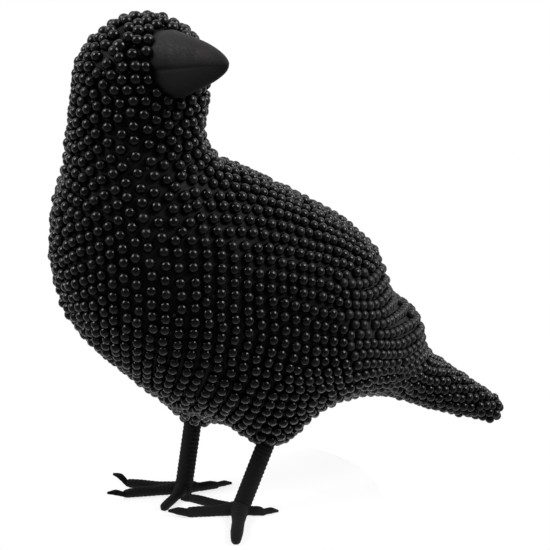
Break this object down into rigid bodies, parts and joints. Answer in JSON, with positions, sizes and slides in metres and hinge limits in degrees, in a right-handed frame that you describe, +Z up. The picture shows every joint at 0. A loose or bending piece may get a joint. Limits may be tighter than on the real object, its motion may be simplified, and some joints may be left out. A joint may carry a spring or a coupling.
{
  "type": "beaded bird figure",
  "caption": "Standing crow-shaped bird figure covered in glued black beads, head turned to its left, matt conical beak and wrapped wire legs on spread toes.",
  "frame": {"origin": "on the ground, under the middle of the whole figure", "axes": "+Z up; the breast faces -Y and the tail +Y; +X is the bird's left side, the side its head looks to"},
  "size_m": [0.1094, 0.2468, 0.2446],
  "materials": {
    "bead": "gloss black beads set in dark glue",
    "eye": "polished black",
    "beak": "matt black",
    "leg_wrap": "matt black wrapped tape"
  },
  "bodies": {
    "root": {"body": "bead", "beak": "beak", "eye_left": "eye", "eye_right": "eye", "leg_left": "leg_wrap", "leg_right": "leg_wrap"}
  },
  "joints": []
}
